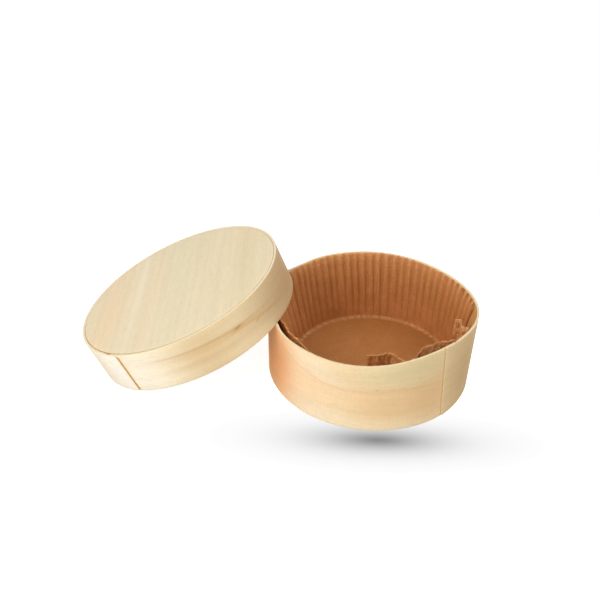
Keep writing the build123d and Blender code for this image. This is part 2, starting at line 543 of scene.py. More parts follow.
@dataclass
class VeneerHoop:
    """One veneer strip bent round to a ring, its outer end lapped over its inner end.

    Stations run along the strip from the outer end, whose edge is the visible seam.
    turn is 1 where the lap runs anticlockwise from the seam, and -1 where it runs back.
    """

    name: str
    ring: Ring
    seam_angle: float
    turn: int
    spring: Spring = Spring()
    open_spring: Spring = Spring()
    thickness: float = 1.3 * MM
    lap_length: float = 9.0 * MM
    seam_width: float = 0.8 * MM
    lap_film: float = 0.1 * MM
    step: float = 0.25 * MM
    arris: float = 0.30 * MM
    end_lean: float = 0.0
    ease: float = 0.22 * MM
    waviness: float = 0.10 * MM
    ragged: float = 0.07 * MM
    station_gap: float = 0.55 * MM
    rows: int = 26
    seed: float = 0.0
    closed_top: float = 0.0
    chips: tuple[Chip, ...] = ()

    @property
    def whole(self) -> float:
        """The distance from the outer end round to the groove, in metres."""
        return 2 * math.pi * self.ring.radius - self.seam_width

    @property
    def skins(self) -> tuple[float, float, float]:
        """The radius of the bore, of the lap's underside and of the face that it is glued to."""
        middle = self.ring.radius - self.thickness / 2
        return self.ring.radius - self.thickness, middle + self.lap_film / 2, middle - self.lap_film / 2

    def stations(self) -> list[tuple[float, float, float]]:
        """Lists the sections along the strip.

        Returns:
            Run along the strip, outer radius and inner radius of each section.
        """
        face, lap, whole = self.ring.radius, self.lap_length, self.whole
        bore, over, under = self.skins
        lapped = (0, lap, face, over)
        single = (lap, whole, face, bore)
        covered = (whole, whole + lap - self.seam_width, under, bore)
        found = []
        for start, end, outer, inner in (lapped, single, covered):
            count = max(4, round((end - start) / self.station_gap))
            for index in range(count + 1):
                run = start + (end - start) * index / count
                lift = self.step * smooth(1 - run / (2.2 * lap)) if run < whole else 0.0
                if not found:
                    found.append((run, outer + lift - self.arris, inner))
                    run = self.arris
                found.append((run, outer + lift, inner))
        return found

    def section(self, outer: float, inner: float) -> list[tuple[float, float, bool]]:
        """Draws the strip's section, up its outer face and down its inner one.

        Args:
            outer: Outer radius.
            inner: Inner radius.

        Returns:
            Radius, height and whether the point lies on a cut edge, for each point.
        """
        high, ease = self.ring.height, min(self.ease, (outer - inner) * 0.42)
        nick, middle = ease * ROUNDED, (outer + inner) / 2
        rise = [ease + (high - 2 * ease) * i / (self.rows - 1) for i in range(self.rows)]
        top = [(outer - nick, high - nick), (outer - ease, high), (middle, high)]
        top += [(inner + ease, high), (inner + nick, high - nick)]
        foot = [(inner + nick, nick), (inner + ease, 0.0), (middle, 0.0)]
        foot += [(outer - ease, 0.0), (outer - nick, nick)]
        loop = [(outer, z, False) for z in rise] + [(*corner, True) for corner in top]
        return loop + [(inner, z, False) for z in reversed(rise)] + [(*corner, True) for corner in foot]

    def shaped(self, run: float, radius: float, rise: float) -> Vector:
        """Puts a point of the strip in place, sprung out of round and slightly wavy.

        Args:
            run: Distance along the strip.
            radius: Radius in the true ring.
            rise: Height in the true ring.

        Returns:
            The point, in the part's frame.
        """
        share, left = rise / self.ring.height, self.whole - run
        near = smooth(1 - min(run, left) / (6 * MM))
        shut = smooth(1 - left / (5 * MM)) if self.closed_top and left >= -1e-7 else 0.0
        shut *= smooth((rise - self.ring.height + self.closed_top) / (0.5 * MM))
        run_here = run + self.end_lean * (share - 0.5) * near + 0.96 * self.seam_width * shut
        angle = self.seam_angle + self.turn * math.degrees(run_here / self.ring.radius)
        radius += self.spring.reach(angle, share) + self.open_spring.reach(angle, 1 - share)
        ripple = uneven(run / (26 * MM), rise / (38 * MM), self.seed)
        radius += self.waviness * ripple * smooth(share * 3) * smooth((1 - share) * 8 + 0.3)
        if share > 0.9:
            top = smooth((share - 0.9) / 0.1)
            rough = uneven(run / (1.4 * MM), radius / (0.7 * MM), self.seed + 7)
            rise += self.ragged * rough * top
            for chip in self.chips:
                reach = math.radians(abs(turned(angle, chip.angle))) * self.ring.radius / (chip.length / 2)
                rise -= chip.depth * max(0.0, 1 - reach * reach) * top * (0.55 + 0.6 * abs(rough))
        return self.ring.point(radius, angle, rise)

    def build(self, face: Finish, cut: Finish) -> bpy.types.Object:
        """Builds the hoop.

        Args:
            face: The veneer's face finish.
            cut: The finish of its cut edges and ends.

        Returns:
            The hoop as one closed mesh.
        """
        bm = bmesh.new()
        layer = bm.loops.layers.uv.new("grain")
        places, rings = {}, []
        for run, outer, inner in self.stations():
            row, length, last = [], 0.0, None
            for radius, rise, _ in self.section(outer, inner):
                length += math.dist(last, (radius, rise)) if last else 0.0
                vertex = bm.verts.new(self.shaped(run, radius, rise))
                places[vertex] = (run, length)
                row.append(vertex)
                last = (radius, rise)
            rings.append(row)
        is_cut = [point[2] for point in self.section(self.ring.radius, self.ring.radius - self.thickness)]
        around = places[rings[0][-1]][1]
        for here, there in zip(rings, rings[1:]):
            for index in range(len(is_cut)):
                following = (index + 1) % len(is_cut)
                corners = [here[index], here[following], there[following], there[index]]
                made = bm.faces.new(corners if self.turn < 0 else corners[::-1])
                made.smooth = True
                is_arris = here is rings[0] and index < self.rows
                made.material_index = int(is_arris or (is_cut[index] and is_cut[following]))
                for corner in made.loops:
                    run, length = places[corner.vert]
                    is_closing = following == 0 and corner.vert in (here[0], there[0])
                    corner[layer].uv = (run, length + around if is_closing else length)
        for is_last, row in ((False, rings[0]), (True, rings[-1])):
            cap = bm.faces.new(row if is_last == (self.turn < 0) else row[::-1])
            cap.material_index = 1
            for corner in cap.loops:
                run, length = places[corner.vert]
                corner[layer].uv = (run + (corner.vert.co - row[0].co).length, length)
            for edge in cap.edges:
                edge.smooth = False
        bmesh.ops.remove_doubles(bm, verts=bm.verts, dist=1e-4 * MM)
        return closed_piece(self.name, bm, face, cut)


@dataclass
class LapGlue:
    """The glue between a hoop's lapped ends, with the amber line that fills the seam."""

    name: str
    hoop: VeneerHoop
    recess: float = 0.10 * MM
    rows: int = 60

    def outline(self) -> list[tuple[float, float, bool]]:
        """Draws the glue seen along the hoop's axis.

        Returns:
            Run along the strip, radius and whether the point shows in the seam.
        """
        lap, groove = self.hoop.lap_length, self.hoop.seam_width
        bore, over, under = self.hoop.skins
        face, back = self.hoop.ring.radius - self.recess, bore + self.recess
        steps = [lap * i / 8 for i in range(9)]
        loop = [(run - groove, under, False) for run in steps]
        loop += [(lap - groove, back, False), (lap, back, False)]
        loop += [(run, over, False) for run in reversed(steps)]
        return loop + [(run, face, True) for run in (0.0, -groove * 0.5, -groove)]

    def build(self, finish: Finish) -> bpy.types.Object:
        """Builds the glue, a little uneven where it shows.

        Args:
            finish: The glue's finish.

        Returns:
            The glue as one closed mesh.
        """
        hoop, bm, rings = self.hoop, bmesh.new(), []
        low, high = hoop.ease, hoop.ring.height - hoop.ease
        for level in range(self.rows + 1):
            rise, row = low + (high - low) * level / self.rows, []
            for run, radius, is_seen in self.outline():
                clot = 0.09 * MM * uneven(rise / (2.1 * MM), run / (0.6 * MM), 3.0) if is_seen else 0.0
                row.append(bm.verts.new(hoop.shaped(run, radius + clot, rise)))
            rings.append(row)
        for here, there in zip(rings, rings[1:]):
            bridge(bm, here, there)
        ends = [bm.faces.new(rings[0][::-1]), bm.faces.new(rings[-1])]
        bmesh.ops.triangulate(bm, faces=ends, ngon_method="EAR_CLIP")
        return closed_piece(self.name, bm, finish)


@dataclass
class VeneerDisc:
    """A flat veneer disc with a softened edge and the slightest warp."""

    name: str
    ring: Ring
    spring: Spring
    grain_angle: float = 95.0
    gap: float = 0.04 * MM
    wider: float = 0.24 * MM
    wider_at: float = 268.0
    proud: float = 0.20 * MM
    ease: float = 0.12 * MM
    warp: float = 0.12 * MM
    segments: int = 256
    rings: int = 22
    seed: float = 8.0

    @property
    def radius(self) -> float:
        """The radius of the disc before its edge is made uneven."""
        return self.ring.radius - self.gap

    def profile(self) -> list[tuple[float, float, bool]]:
        """Draws half the disc's section, from the middle of its top to the middle of its underside.

        Returns:
            Radius, height and whether the point lies on the cut edge, for each point.
        """
        radius, high, nick = self.radius, self.ring.height + self.proud, self.ease * ROUNDED
        steps = [(radius - self.ease) * i / self.rings for i in range(1, self.rings + 1)]
        edge = [(radius - nick, high - nick), (radius, high - self.ease)]
        edge += [(radius, self.ease), (radius - nick, nick)]
        found = [(step, high, False) for step in steps] + [(*corner, True) for corner in edge]
        return found + [(step, 0.0, False) for step in reversed(steps)]

    def shaped(self, distance: float, angle: float, rise: float) -> Vector:
        """Puts a point of the disc in place.

        Args:
            distance: Distance from the middle.
            angle: Angle in degrees.
            rise: Height above the underside.

        Returns:
            The point of the warped disc, in the part's frame.
        """
        x, y = distance * math.cos(math.radians(angle)), distance * math.sin(math.radians(angle))
        lift = uneven(x / (45 * MM), y / (45 * MM), self.seed)
        keep = smooth((self.radius - distance) / (12 * MM))
        distance += 0.08 * MM * uneven(x / (9 * MM), y / (9 * MM), self.seed + 3) * (1 - keep)
        narrower = self.wider * max(0.0, math.cos(math.radians(angle - self.wider_at))) ** 1.5
        distance += (self.spring.reach(angle, 1.0) - narrower) * distance / self.radius
        return self.ring.point(distance, angle, rise + self.warp * lift * keep)

    def build(self, face: Finish, cut: Finish) -> bpy.types.Object:
        """Builds the disc.

        Args:
            face: The veneer's face finish.
            cut: The finish of its cut edge.

        Returns:
            The disc as one closed mesh.
        """
        bm, profile = bmesh.new(), self.profile()
        layer = bm.loops.layers.uv.new("grain")
        top, bottom = (bm.verts.new(self.shaped(0, 0, rise)) for rise in (profile[0][1], 0.0))
        angles = [360 * step / self.segments for step in range(self.segments)]
        rows = [[bm.verts.new(self.shaped(far, angle, rise)) for angle in angles] for far, rise, _ in profile]
        for step in range(self.segments):
            after = (step + 1) % self.segments
            bm.faces.new((top, rows[0][step], rows[0][after]))
            bm.faces.new((bottom, rows[-1][after], rows[-1][step]))
            for index, (here, there) in enumerate(zip(rows, rows[1:])):
                made = bm.faces.new((here[step], there[step], there[after], here[after]))
                made.material_index = int(profile[index][2] or profile[index + 1][2])
        turn = math.radians(self.grain_angle)
        for made in bm.faces:
            made.smooth = True
            for corner in made.loops:
                off = corner.vert.co - self.ring.centre
                x, y, z = (off.dot(way) for way in (self.ring.u, self.ring.w, self.ring.n))
                across = y * math.cos(turn) - x * math.sin(turn) + z
                corner[layer].uv = (x * math.cos(turn) + y * math.sin(turn), across)
        return closed_piece(self.name, bm, face, cut)


@dataclass
class CornerGlue:
    """The glue between a disc and its hoop, with an uneven bead in the corner behind the disc."""

    name: str
    hoop: VeneerHoop
    disc: Ring
    gap: float = 0.5 * MM
    bead: float = 1.2 * MM
    line_depth: float = 0.06 * MM
    segments: int = 300

    def build(self, finish: Finish) -> bpy.types.Object:
        """Builds the glue as one ring that follows the hoop.

        Args:
            finish: The glue's finish.

        Returns:
            The glue as one closed mesh.
        """
        bm, ring, rows = bmesh.new(), self.hoop.ring, []
        bore = self.hoop.skins[0]
        under = (self.disc.centre - ring.centre).dot(ring.n)
        line = under + self.disc.height - self.line_depth
        for step in range(self.segments):
            angle = 360 * step / self.segments
            a = math.radians(angle)
            bead = self.bead * (1 + 0.3 * uneven(9 * math.cos(a), 9 * math.sin(a), 6.0))
            reach = self.hoop.spring.reach(angle, under / ring.height)
            section = [(bore, line), (bore, under - bead), (bore - 0.45 * bead, under - 0.40 * bead)]
            section += [(bore - bead, under), (bore - self.gap, under), (bore - self.gap, line)]
            rows.append([bm.verts.new(ring.point(radius + reach, angle, rise)) for radius, rise in section])
        for here, there in zip(rows, rows[1:] + rows[:1]):
            bridge(bm, here, there)
        return closed_piece(self.name, bm, finish)


@dataclass(frozen=True)
class Stand:
    """Where the liner's top edge stands off the tray's wall, and how far it has sunk, in mm."""

    angle: float
    inward: float
    sunk: float

    @classmethod
    def rows(cls, *places: tuple[float, float, float]) -> tuple["Stand", ...]:
        """Makes one stand of each row, its values in the order of the fields."""
        return tuple(cls(*place) for place in places)


@dataclass(frozen=True)
class Flap:
    """A torn part of the liner's wall that has curled inwards.

    It bends away from the wall at its hinge and ends in a free edge, and is joined to the
    wall below its foot. Angles are in degrees, the reach of its free top corner in mm, and
    foot and full are shares of the wall's height. A flap with folds is a tongue: a second
    layer that peels off and leaves the wall behind it whole. Its top runs through its folds,
    seen from above in mm.
    """

    hinge: float
    free: float
    foot: float
    full: float
    reach: tuple[float, float] = (0.0, 0.0)
    bend: float = 1.0
    folds: tuple[tuple[float, float], ...] = ()

    def share(self, angle: float) -> float:
        """How far along the flap an angle lies, from 0 at the hinge to 1 at its free edge."""
        return turned(angle, self.hinge) / (self.free - self.hinge)

    def offset(self, angle: float, up: float) -> Vector:
        """How far the wall has moved at an angle and a share of its height, in metres."""
        share = self.share(angle)
        out = smooth(share / self.bend) * smooth((up - self.foot) / (self.full - self.foot))
        return Vector((*self.reach, 0)) * (out * MM if 0 < share <= 1.02 else 0.0)

    def folded(self, point: Vector, share: float, up: float) -> Vector:
        """Carries a point of the tongue from the wall to its place along the folds.

        Args:
            point: The point on the wall, in metres.
            share: How far along the tongue it lies.
            up: Its height as a share of the wall.

        Returns:
            The point on the folded tongue.
        """
        spot = min(max(share, 0.0), 0.9999) * (len(self.folds) - 1)
        before, after = self.folds[int(spot)], self.folds[int(spot) + 1]
        along = Vector((*before, 0)).lerp(Vector((*after, 0)), spot % 1) * MM
        along.z = point.z
        return point.lerp(along, smooth((up - self.foot) / (self.full - self.foot)))


@dataclass(frozen=True)
class Tear:
    """A slanting torn line down the wall, beside which the layer behind lies against the wood.

    angle is where it starts at the rim, end the angle at which the layer behind runs out,
    outward how far back its top lies, curl how far the torn layer stands inwards beside the
    line, depth how far down it goes, in mm, and slant how many degrees it goes back for each.
    """

    angle: float
    end: float
    outward: float
    curl: float
    depth: float = 20.0
    slant: float = 0.0

    def behind(self, angle: float, down: float) -> tuple[float, float]:
        """How far behind the line a place lies, in degrees, and how much of the tear is left there."""
        left = smooth((self.depth * MM - down) / (4 * MM))
        return turned(self.angle - self.slant * down / MM, angle), left

    def bared(self, angle: float, down: float) -> tuple[float, float]:
        """How far a place lies in the layer behind, and how near to the line, as shares."""
        away, left = self.behind(angle, down)
        inner = smooth(away / 0.7) * smooth(turned(angle, self.end) / 3) * left
        return inner, smooth(1.3 - abs(away - 0.3) / 0.9) * left

    def curled(self, angle: float, down: float) -> float:
        """How far the torn layer curls inwards before the line, in metres."""
        away, left = self.behind(angle, down)
        return self.curl * MM * smooth(1 + away / 7) * left if away < 0.4 else 0.0


@dataclass(frozen=True)
class Crease:
    """A sharp fold up the liner's wall: its angle, how far it stands inwards in mm and its half width."""

    angle: float
    inward: float
    width: float = 1.1


@dataclass
class PaperLiner:
    """The pressed paper cup: a flat floor and a fluted wall, crumpled where it is handled."""

    name: str
    mouth_radius: float
    foot: float
    top: float
    tray_height: float
    spring: Spring
    stands: tuple[Stand, ...]
    flaps: tuple[Flap, ...]
    creases: tuple[Crease, ...]
    tear_line: Tear
    floor_radius: float = 44.4 * MM
    flutes: int = 68
    depth_foot: float = 0.44 * MM
    depth_rim: float = 1.0 * MM
    fine_share: float = 0.24
    paper: float = 0.18 * MM
    floor_shift: tuple[float, float, float] = (2.6 * MM, -0.4 * MM, 0.0)
    lip: float = 0.65 * MM
    # The side where the flutes are pressed flatter and the paper is drawn lighter as painted light, in the
    # lid's shade.
    flattened_painted_light_side: float = 185.0
    frayed_side: float = 16.0
    columns_per_flute: int = 10
    wall_rows: int = 34
    floor_rows: int = 13
    floor_share: float = 0.3
    phase: float = -5.17
    unevenness: float = 1.1
    seed: float = 4.0

    @property
    def columns(self) -> int:
        """The number of mesh columns round the cup."""
        return self.flutes * self.columns_per_flute

    @property
    def sizes(self) -> dict[str, float]:
        """The values of the node tree's named inputs, whole numbers for its counts."""
        return {
            "Flutes": self.flutes,
            "Columns": self.columns + 1,
            "Rows": self.wall_rows + self.floor_rows,
            "Floor Radius": self.floor_radius,
            "Mouth Radius": self.mouth_radius,
            "Foot": self.foot,
            "Top": self.top,
            "Depth Foot": self.depth_foot,
            "Depth Rim": self.depth_rim,
            "Fine Share": self.fine_share,
            "Floor Share": self.floor_share,
            "Phase": self.phase,
            "Uneven": self.unevenness,
            "Seed": self.seed,
        }

    def tree(self, finish: Finish) -> bpy.types.NodeTree:
        """Builds the node tree that presses the flutes.

        Args:
            finish: The paper's finish.

        Returns:
            The tree, with named inputs for the liner's sizes.
        """
        nodes = Nodes(bpy.data.node_groups.new("pressed_flutes", "GeometryNodeTree"))
        nodes.sockets("NodeSocketGeometry", "Geometry")
        nodes.sockets("NodeSocketGeometry", "Geometry", way="OUTPUT")
        for name, value in self.sizes.items():
            nodes.sockets("NodeSocketInt" if isinstance(value, int) else "NodeSocketFloat", name)
        source = nodes.add("NodeGroupInput").outputs
        counts = {"Size X": 1.0, "Size Y": 1.0, "Vertices X": source["Columns"], "Vertices Y": source["Rows"]}
        shape = nodes.add("GeometryNodeMeshGrid", inputs=counts).outputs["Mesh"]
        at = nodes.parts(nodes.read("GeometryNodeInputPosition", "Position"))
        angle = nodes.remap(at["X"], -0.5, 0.5, most=math.tau)
        profile = nodes.math("ADD", at["Y"], 0.5)
        in_floor = nodes.remap(profile, 0.0, source["Floor Share"])
        in_wall = nodes.remap(profile, source["Floor Share"], 1.0)
        cosine, sine = nodes.math("COSINE", angle), nodes.math("SINE", angle)
        circle = nodes.point(cosine, sine, source["Seed"])
        stray = nodes.remap(nodes.noise(circle, 2.0, 5.0), 0.25, 0.75, -1.0, 1.0)
        stray = nodes.math("MULTIPLY", stray, source["Uneven"])
        phase = nodes.math("ADD", nodes.math("MULTIPLY_ADD", angle, source["Flutes"], source["Phase"]), stray)
        pressed = nodes.math("POWER", nodes.remap(nodes.math("COSINE", phase), -1.0, 1.0), 1.6)
        doubled = nodes.math("COSINE", nodes.math("MULTIPLY_ADD", phase, 2.0, stray))
        doubled = nodes.math("MULTIPLY", doubled, nodes.eased(in_wall, 0.45, 0.95, source["Fine Share"], 0.0))
        wave = nodes.math("ADD", nodes.remap(pressed, least=-0.5, most=0.5), doubled)
        deepening = nodes.math("POWER", in_wall, 0.7)
        depth = nodes.remap(deepening, least=source["Depth Foot"], most=source["Depth Rim"])
        patchy = nodes.remap(nodes.noise(circle, 1.0, 9.0), 0.3, 0.7, 0.7, 1.15)
        near_fold = nodes.eased(in_floor, 0.95, 1.0)
        flattened = nodes.eased(in_wall, 0.90, 1.0, 1.0, 0.35)
        for share in (patchy, near_fold, flattened):
            depth = nodes.math("MULTIPLY", depth, share)
        flare = nodes.math("SUBTRACT", source["Mouth Radius"], source["Floor Radius"])
        flat = nodes.math("MULTIPLY", source["Floor Radius"], in_floor)
        radius = nodes.math("MULTIPLY_ADD", flare, in_wall, flat)
        radius = nodes.math("ADD", radius, nodes.math("MULTIPLY", wave, depth))
        rise = nodes.remap(in_wall, least=source["Foot"], most=source["Top"])
        x, y = nodes.math("MULTIPLY", radius, cosine), nodes.math("MULTIPLY", radius, sine)
        place = nodes.point(x, y, rise)
        # The ridges are stored to be drawn paler: partly rubbing, partly painted light on the crests.
        ridge = nodes.eased(nodes.math("MULTIPLY", wave, -1.0), 0.1, 0.5)
        ridge = nodes.math("MULTIPLY", ridge, in_wall)
        is_float = {"data_type": "FLOAT", "domain": "POINT"}
        for kind, settings, inputs in (
            ("StoreNamedAttribute", is_float, {"Name": "wall_share", "Value": in_wall}),
            ("StoreNamedAttribute", is_float, {"Name": "floor_in", "Value": in_floor}),
            ("StoreNamedAttribute", is_float, {"Name": "ridge", "Value": ridge}),
            ("SetPosition", {}, {"Position": place}),
            ("MergeByDistance", {}, {"Distance": 0.004 * MM}),
            ("RealizeInstances", {}, {}),
            ("SetMaterial", {}, {"Material": finish}),
        ):
            step = nodes.add("GeometryNode" + kind, settings, {"Geometry": shape, **inputs})
            shape = step.outputs["Geometry"]
        nodes.add("NodeGroupOutput", inputs={"Geometry": shape})
        return nodes.tree

    def pressed(self, finish: Finish) -> bpy.types.Mesh:
        """Presses the regular cup with Geometry Nodes.

        Args:
            finish: The paper's finish.

        Returns:
            The cup's inner skin as a plain mesh.
        """
        carrier = new_object("liner_blank", bpy.data.meshes.new("liner_blank"))
        modifier = carrier.modifiers.new("pressed_flutes", "NODES")
        modifier.node_group = self.tree(finish)
        for item in modifier.node_group.interface.items_tree:
            if item.in_out == "INPUT" and item.name in self.sizes:
                modifier[item.identifier] = self.sizes[item.name]
        bpy.context.view_layer.update()
        evaluated = carrier.evaluated_get(bpy.context.evaluated_depsgraph_get())
        mesh = bpy.data.meshes.new_from_object(evaluated)
        carrier.modifiers.clear()
        bpy.data.objects.remove(carrier)
        return mesh

    def edge(self, angle: float) -> tuple[float, float]:
        """Reads the crumpling at an angle, eased between the stands.

        Args:
            angle: Angle about the tray's axis, in degrees.

        Returns:
            How far inwards the top edge stands and how far it has sunk, in metres.
        """
        angle %= 360
        ordered = sorted(self.stands, key=lambda stand: stand.angle % 360)
        before, after = ordered[-1], ordered[0]
        for first, second in zip(ordered, ordered[1:]):
            if first.angle % 360 <= angle < second.angle % 360:
                before, after = first, second
        share = smooth(((angle - before.angle) % 360) / ((after.angle - before.angle) % 360))
        inward = before.inward + (after.inward - before.inward) * share
        return inward * MM, (before.sunk + (after.sunk - before.sunk) * share) * MM

    def torn_column(self, flap: Flap) -> float:
        """Gives the angle of the mesh column nearest to a flap's free edge, in degrees."""
        return round(flap.free % 360 / 360 * self.columns) * 360 / self.columns

    def is_on_column(self, angle: float, flap: Flap) -> bool:
        """Tells whether an angle lies on the column along which a flap is torn."""
        return abs(turned(angle, self.torn_column(flap))) < 90 / self.columns

    def tear(self, bm: bmesh.types.BMesh) -> None:
        """Opens the wall along each flap's free edge, and lays a tongue's second layer on it.

        Args:
            bm: The regular cup, still round.
        """
        wall = bm.verts.layers.float["wall_share"]
        ply = bm.verts.layers.int.new("ply")
        for number, flap in enumerate(self.flaps, start=1):
            above = {vertex for vertex in bm.verts if vertex[wall] >= flap.foot}
            if flap.folds:
                peeled = [face for face in bm.faces if 0 < flap.share(azimuth(face.calc_center_median())) < 1]
                peeled = [face for face in peeled if above.issuperset(face.verts)]
                for item in bmesh.ops.duplicate(bm, geom=peeled)["geom"]:
                    if isinstance(item, bmesh.types.BMVert):
                        item[ply] = number
            else:
                torn = {vertex for vertex in above if self.is_on_column(azimuth(vertex.co), flap)}
                bmesh.ops.split_edges(bm, edges=[edge for edge in bm.edges if torn.issuperset(edge.verts)])

    def crumpled(self, point: Vector, side: float, up: float, floor: float, ply: int) -> Vector:
        """Moves a point of the regular cup to where it lies in the handled one.

        Args:
            point: The point in the regular cup.
            side: Angle of the middle of the faces round the point, in degrees.
            up: Height as a share of the wall.
            floor: Distance from the centre as a share of the floor.
            ply: The number of the tongue that the point belongs to, or 0.

        Returns:
            The point in the crumpled cup.
        """
        x, y, z = point
        radius, angle = math.hypot(x, y), azimuth(point)
        inward, sunk = self.edge(angle)
        loosened = 1.3 * smooth(1.2 - abs(turned(angle, self.flattened_painted_light_side)) / 50)
        for flap in self.flaps:
            loosened = max(loosened, smooth(2 * flap.share(angle)) if flap.share(angle) <= 1.02 else 0.0)
        bared = 0.0 if ply else self.tear_line.bared(angle, self.top - z)[0]
        loosened = max(loosened, 1.8 * bared)
        plain = self.floor_radius + (self.mouth_radius - self.floor_radius) * up
        radius += (plain - radius) * 0.5 * loosened * smooth(2 * up)
        loose = min(inward / (6 * MM), 1.0)
        radius += self.spring.reach(angle, z / self.tray_height)
        radius -= inward * up**1.15
        radius += self.lip * smooth((up - 0.9) / 0.1) * (1 - loose) * (1 - bared)
        radius += self.tear_line.outward * MM * bared * smooth((up - 0.80) / 0.2)
        radius -= 0.0 if ply else self.tear_line.curled(angle, self.top - z)
        radius += (0.14 + 0.8 * loose) * MM * uneven(x / (9 * MM), y / (9 * MM), z / (15 * MM)) * up
        radius += 0.08 * MM * uneven(angle * 1.4, z / (5 * MM), 5.0) * smooth(up * 6)
        if ply:
            rough = uneven(x / (2.6 * MM), y / (2.6 * MM), z / (3.4 * MM))
            radius += (0.7 * rough * smooth((up - 0.45) / 0.3) - 0.4) * MM
        for crease in self.creases:
            near = max(0.0, 1 - abs(turned(angle, crease.angle)) / crease.width)
            radius -= crease.inward * MM * near * smooth((up - 0.3) / 0.4)
        rise = z - sunk * up * up
        rise += 0.30 * MM * uneven(x / (2.2 * MM), y / (2.2 * MM), 9.0) * smooth((up - 0.85) / 0.15)
        blister = max(uneven(x / (17 * MM), y / (17 * MM), 2.0), 0)
        rise += 0.3 * MM * blister * (1 - up) * smooth((1 - floor) * 12)
        a = math.radians(angle)
        placed = Vector((radius * math.cos(a), radius * math.sin(a), rise))
        placed += Vector(self.floor_shift) * (1 - up)
        for number, flap in enumerate(self.flaps, start=1):
            if flap.folds:
                placed = flap.folded(placed, flap.share(angle), up) if ply == number else placed
            elif not self.is_on_column(angle, flap):
                placed += flap.offset(angle, up)
            elif turned(side, self.torn_column(flap)) * (flap.hinge - flap.free) > 0:
                placed += flap.offset(flap.free, up)
        return placed

    def mark(self, vertex: bmesh.types.BMVert, layers: dict[str, bmesh.types.BMLayerItem]) -> None:
        """Writes how rubbed, torn and fluffy the paper is at a vertex of the regular cup, and where light and
        shade are painted on it.

        Args:
            vertex: The vertex.
            layers: The cup's layers by their names.
        """
        up, floor, ridge, ply = (vertex[layers[name]] for name in ("wall_share", "floor_in", "ridge", "ply"))
        spot, angle = vertex.co / MM, azimuth(vertex.co)
        dash = smooth(0.5 + 2.8 * uneven(angle * 0.42, 0.0, 12.0))
        fold = math.exp(-(((1 - floor) / 0.012) ** 2) - (up / 0.014) ** 2)
        frayed = smooth(1.3 - abs(turned(angle, self.frayed_side)) / 20) * smooth((up - 0.93) / 0.03)
        crest = smooth(ridge * 2.5 - 0.5 + 1.2 * uneven(*spot / 1.1))
        fluffy = smooth((up - 0.95) / 0.05) * smooth(0.4 + 1.6 * uneven(*spot / 1.3)) * (1 - frayed)
        handled = smooth(self.edge(angle)[0] / (3.2 * MM))
        if any(-0.02 < flap.share(angle) < 1.02 for flap in self.flaps):
            handled = max(handled, 0.9)
        rubs = smooth(0.25 + 2.6 * uneven(*spot / 1.2) + 0.5 * ridge)
        # On lips that stand off the wall the pale fluff is partly real and partly painted light on their
        # shaded outer faces.
        fluffy = max(fluffy, 1.9 * frayed * crest, 0.85 * handled * smooth((up - 0.70) / 0.2) * rubs)
        if ply:
            fluffy = max(fluffy, smooth(2.4 * uneven(*spot / 1.5) + up - 0.5))
        ridge = max(ridge * 0.7, fold * (0.04 + 0.26 * dash), 0.3 * fluffy)
        for crease in self.creases:
            away = abs(turned(angle, crease.angle))
            ridge = max(ridge, smooth(1 - away / 0.9) * smooth((up - 0.4) / 0.2))
        bared, line = (0.0, 0.0) if ply else self.tear_line.bared(angle, self.top - vertex.co.z)
        # Painted light: the wall's left side, in the lid's shade, is drawn lighter.
        painted_light_left = smooth(1.3 - abs(turned(angle, self.flattened_painted_light_side)) / 50) * smooth(3 * up)
        # ridge carries painted light on the crests and the bared strip, high painted light, and torn the
        # painted shadow along the tear line.
        for name, value in (
            ("ridge", ridge + (1.2 * (1 - line) - ridge) * bared),
            ("fluffy", max(0.95 * fluffy, fold * (0.1 + 0.75 * dash))),
            ("high", max(smooth((up - 0.55) / 0.45), bared, painted_light_left)),
            ("torn", max(1.1 * line, 0.55 * frayed * (1 - crest) * (1 - bared))),
        ):
            vertex[layers[name]] = value

    def build(self, finish: Finish, cut: Finish, back: Finish) -> bpy.types.Object:
        """Presses the cup, tears and crumples it as it was handled, and gives the paper its thickness.

        Args:
            finish: The paper's finish.
            cut: The finish of its cut and torn edges.
            back: The finish of its outer side.

        Returns:
            The liner as one closed mesh.
        """
        mesh = self.pressed(finish)
        mesh.materials.append(cut)
        mesh.materials.append(back)
        bm = bmesh.new()
        bm.from_mesh(mesh)
        self.tear(bm)
        for name in ("high", "torn", "fluffy"):
            bm.verts.layers.float.new(name)
        layers = dict(bm.verts.layers.float.items()) | dict(bm.verts.layers.int.items())
        placed = {}
        for vertex in bm.verts:
            side = azimuth(sum((face.calc_center_median() for face in vertex.link_faces), Vector()))
            up, floor, ply = (vertex[layers[name]] for name in ("wall_share", "floor_in", "ply"))
            placed[vertex] = self.crumpled(vertex.co.copy(), side, up, floor, ply)
            self.mark(vertex, layers)
        for vertex, point in placed.items():
            vertex.co = point
        for face in bm.faces:
            face.smooth = True
        bmesh.ops.recalc_face_normals(bm, faces=bm.faces)
        if sum(face.normal.z * face.calc_area() for face in bm.faces) < 0:
            bmesh.ops.reverse_faces(bm, faces=bm.faces)
        bm.to_mesh(mesh)
        bm.free()
        piece = new_object(self.name, mesh)
        shell = piece.modifiers.new("paper_thickness", "SOLIDIFY")
        shell.thickness, shell.offset = self.paper, -1.0
        shell.material_offset_rim, shell.material_offset = 1, 2
        return piece


